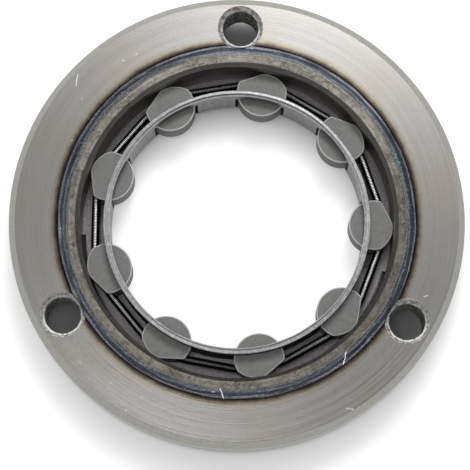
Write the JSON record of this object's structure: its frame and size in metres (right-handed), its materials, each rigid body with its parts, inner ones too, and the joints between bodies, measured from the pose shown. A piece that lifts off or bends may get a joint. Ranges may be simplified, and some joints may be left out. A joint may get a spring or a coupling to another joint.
{
  "type": "sprag clutch",
  "caption": "One-way sprag clutch: a bolted flange ring with a welded-in outer race, a windowed cage of sprags and a garter spring, open for its hub.",
  "frame": {"origin": "on the bore axis, in the plane of the outer race's rear end, on which the part rests", "axes": "+Z along the bore axis to the open front side, +Y through one of the bolt holes, +X to the right of it seen from the front"},
  "size_m": [0.104, 0.104, 0.017],
  "materials": {
    "flange_steel": "turned, with fine concentric marks and a straw tint beside the weld",
    "race_steel": "hardened and ground, tan heat tint on the front land",
    "weld_metal": "rippled bead, dark blue-gray oxide with bright specks",
    "cage_steel": "turned, bright chamfers",
    "sprag_steel": "fine matte end faces, ground cams",
    "spring_steel": "dark drawn wire, lightly oiled"
  },
  "bodies": {
    "housing": {"flange_ring": "flange_steel", "outer_race": "race_steel", "weld_seam": "weld_metal", "retaining_ring": "spring_steel"},
    "cage": {"sprag_cage": "cage_steel", "garter_spring": "spring_steel"},
    "sprag_1_body": {"sprag_1": "sprag_steel"},
    "sprag_2_body": {"sprag_2": "sprag_steel"},
    "sprag_3_body": {"sprag_3": "sprag_steel"},
    "sprag_4_body": {"sprag_4": "sprag_steel"},
    "sprag_5_body": {"sprag_5": "sprag_steel"},
    "sprag_6_body": {"sprag_6": "sprag_steel"},
    "sprag_7_body": {"sprag_7": "sprag_steel"},
    "sprag_8_body": {"sprag_8": "sprag_steel"},
    "sprag_9_body": {"sprag_9": "sprag_steel"}
  },
  "joints": [
    {"name": "cage_freewheel", "type": "hinge", "parent": "housing", "child": "cage", "pos_m": [0, 0, 0.0087], "axis": [0, 0, 1], "continuous": true},
    {"name": "sprag_1_tilt", "type": "hinge", "parent": "cage", "child": "sprag_1_body", "pos_m": [0.0315, 0.00025, 0.0087], "axis": [0, 0, 1], "range_deg": [-6, 2], "stiffness_Nm_per_rad": 0.02},
    {"name": "sprag_2_tilt", "type": "hinge", "parent": "cage", "child": "sprag_2_body", "pos_m": [0.02397, 0.02044, 0.0087], "axis": [0, 0, 1], "range_deg": [-6, 2], "stiffness_Nm_per_rad": 0.02},
    {"name": "sprag_3_tilt", "type": "hinge", "parent": "cage", "child": "sprag_3_body", "pos_m": [0.00523, 0.03106, 0.0087], "axis": [0, 0, 1], "range_deg": [-6, 2], "stiffness_Nm_per_rad": 0.02},
    {"name": "sprag_4_tilt", "type": "hinge", "parent": "cage", "child": "sprag_4_body", "pos_m": [-0.01596, 0.02716, 0.0087], "axis": [0, 0, 1], "range_deg": [-6, 2], "stiffness_Nm_per_rad": 0.02},
    {"name": "sprag_5_tilt", "type": "hinge", "parent": "cage", "child": "sprag_5_body", "pos_m": [-0.02968, 0.01054, 0.0087], "axis": [0, 0, 1], "range_deg": [-6, 2], "stiffness_Nm_per_rad": 0.02},
    {"name": "sprag_6_tilt", "type": "hinge", "parent": "cage", "child": "sprag_6_body", "pos_m": [-0.02951, -0.01101, 0.0087], "axis": [0, 0, 1], "range_deg": [-6, 2], "stiffness_Nm_per_rad": 0.02},
    {"name": "sprag_7_tilt", "type": "hinge", "parent": "cage", "child": "sprag_7_body", "pos_m": [-0.01554, -0.0274, 0.0087], "axis": [0, 0, 1], "range_deg": [-6, 2], "stiffness_Nm_per_rad": 0.02},
    {"name": "sprag_8_tilt", "type": "hinge", "parent": "cage", "child": "sprag_8_body", "pos_m": [0.00571, -0.03098, 0.0087], "axis": [0, 0, 1], "range_deg": [-6, 2], "stiffness_Nm_per_rad": 0.02},
    {"name": "sprag_9_tilt", "type": "hinge", "parent": "cage", "child": "sprag_9_body", "pos_m": [0.02429, -0.02006, 0.0087], "axis": [0, 0, 1], "range_deg": [-6, 2], "stiffness_Nm_per_rad": 0.02}
  ],
  "couplings": [
    {"joint": "sprag_2_tilt", "follows": "sprag_1_tilt", "ratio": 1},
    {"joint": "sprag_3_tilt", "follows": "sprag_1_tilt", "ratio": 1},
    {"joint": "sprag_4_tilt", "follows": "sprag_1_tilt", "ratio": 1},
    {"joint": "sprag_5_tilt", "follows": "sprag_1_tilt", "ratio": 1},
    {"joint": "sprag_6_tilt", "follows": "sprag_1_tilt", "ratio": 1},
    {"joint": "sprag_7_tilt", "follows": "sprag_1_tilt", "ratio": 1},
    {"joint": "sprag_8_tilt", "follows": "sprag_1_tilt", "ratio": 1},
    {"joint": "sprag_9_tilt", "follows": "sprag_1_tilt", "ratio": 1}
  ]
}
